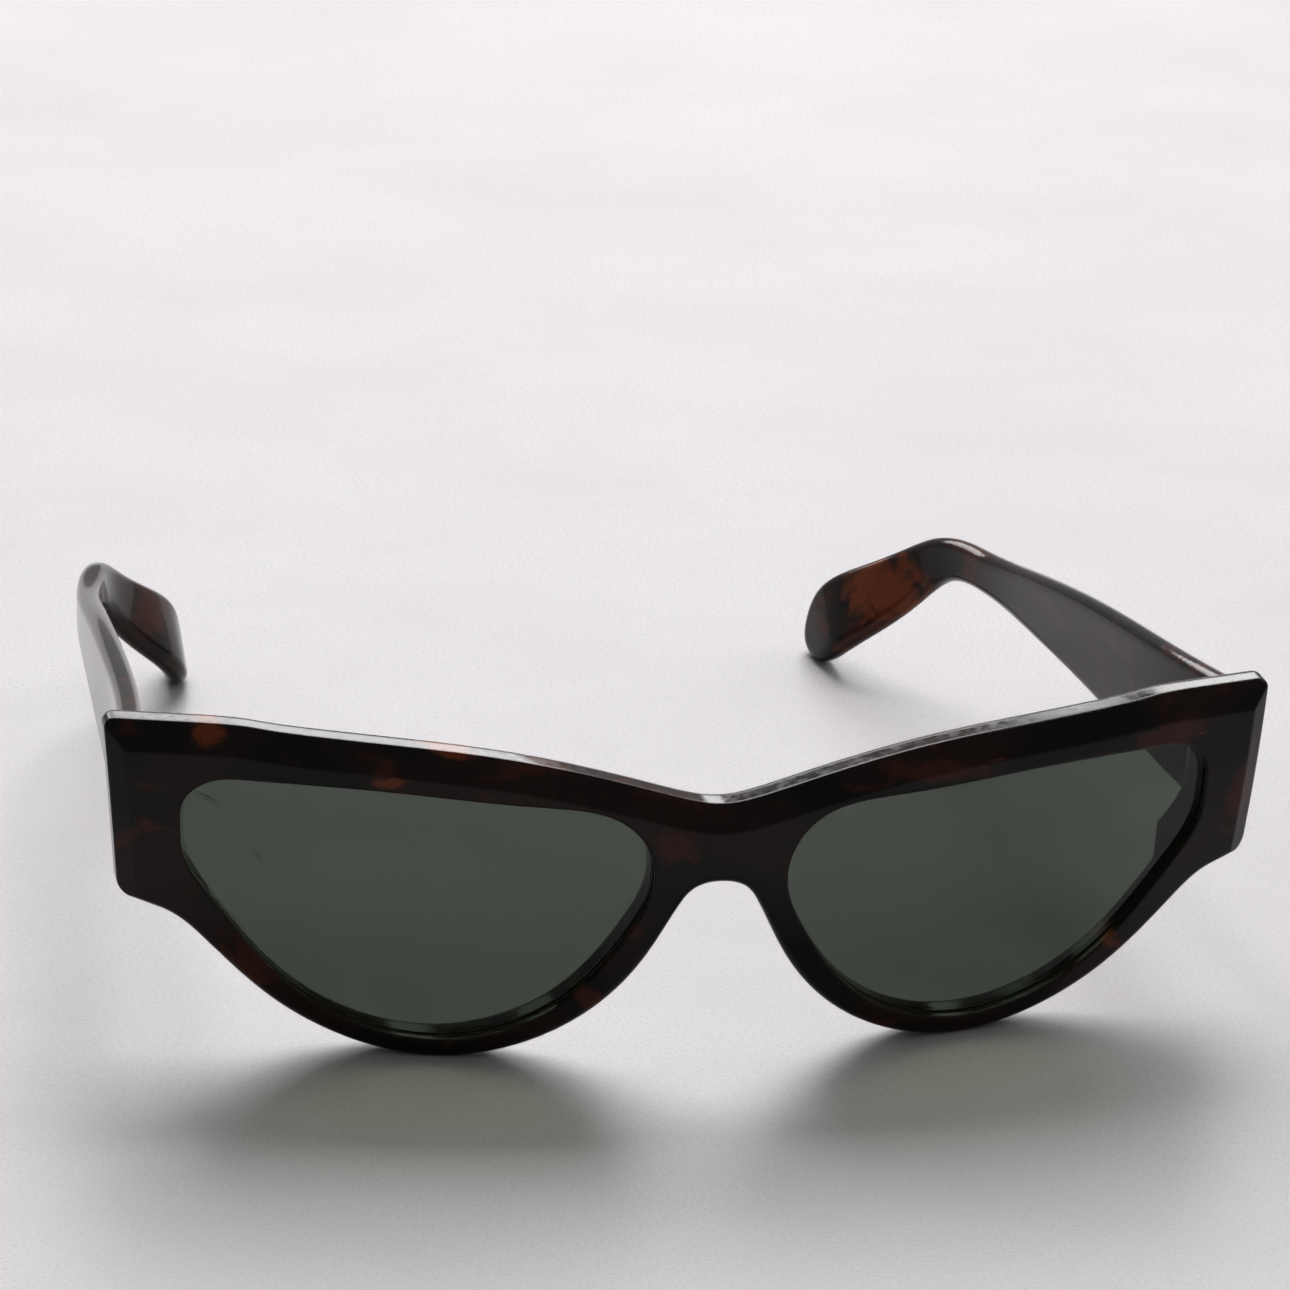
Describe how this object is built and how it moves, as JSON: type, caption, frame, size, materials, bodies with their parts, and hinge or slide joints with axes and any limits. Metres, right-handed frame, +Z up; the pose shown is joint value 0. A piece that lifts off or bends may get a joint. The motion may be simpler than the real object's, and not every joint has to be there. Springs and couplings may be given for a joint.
{
  "type": "cat eye sunglasses",
  "caption": "Slim upswept cat-eye sunglasses with a thick acetate front, dark lenses and wide tapering temples that fold on barrel hinges.",
  "frame": {"origin": "centre of the bounding box's base, on the surface the open glasses stand on", "axes": "+X towards the wearer's left (along the front), the front faces -Y and the temples run back to +Y, +Z up"},
  "size_m": [0.1468, 0.1271, 0.0423],
  "materials": {
    "acetate": "polished tortoiseshell cellulose acetate, near-black brown with orange and amber patches",
    "lens": "clear grey-green tinted lens with fine wear scratches",
    "hinge_metal": "plain nickel-silver, satin",
    "screw_metal": "bright steel with a slotted head"
  },
  "bodies": {
    "front": {"front_frame": "acetate", "nose_pad_left": "acetate", "nose_pad_right": "acetate", "lens_left": "lens", "lens_right": "lens", "hinge_front_left": "hinge_metal", "hinge_front_right": "hinge_metal", "hinge_screw_left": "screw_metal", "hinge_screw_right": "screw_metal"},
    "left_temple": {"temple_left": "acetate", "core_wire_left": "hinge_metal", "hinge_temple_left": "hinge_metal"},
    "right_temple": {"temple_right": "acetate", "core_wire_right": "hinge_metal", "hinge_temple_right": "hinge_metal"}
  },
  "joints": [
    {"name": "fold_left", "type": "hinge", "parent": "front", "child": "left_temple", "pos_m": [0.0663, -0.0422, 0.0305], "axis": [0, 0, 1], "range_deg": [0, 82.5]},
    {"name": "fold_right", "type": "hinge", "parent": "front", "child": "right_temple", "pos_m": [-0.0663, -0.0422, 0.0305], "axis": [0, 0, -1], "range_deg": [0, 74.5]}
  ]
}
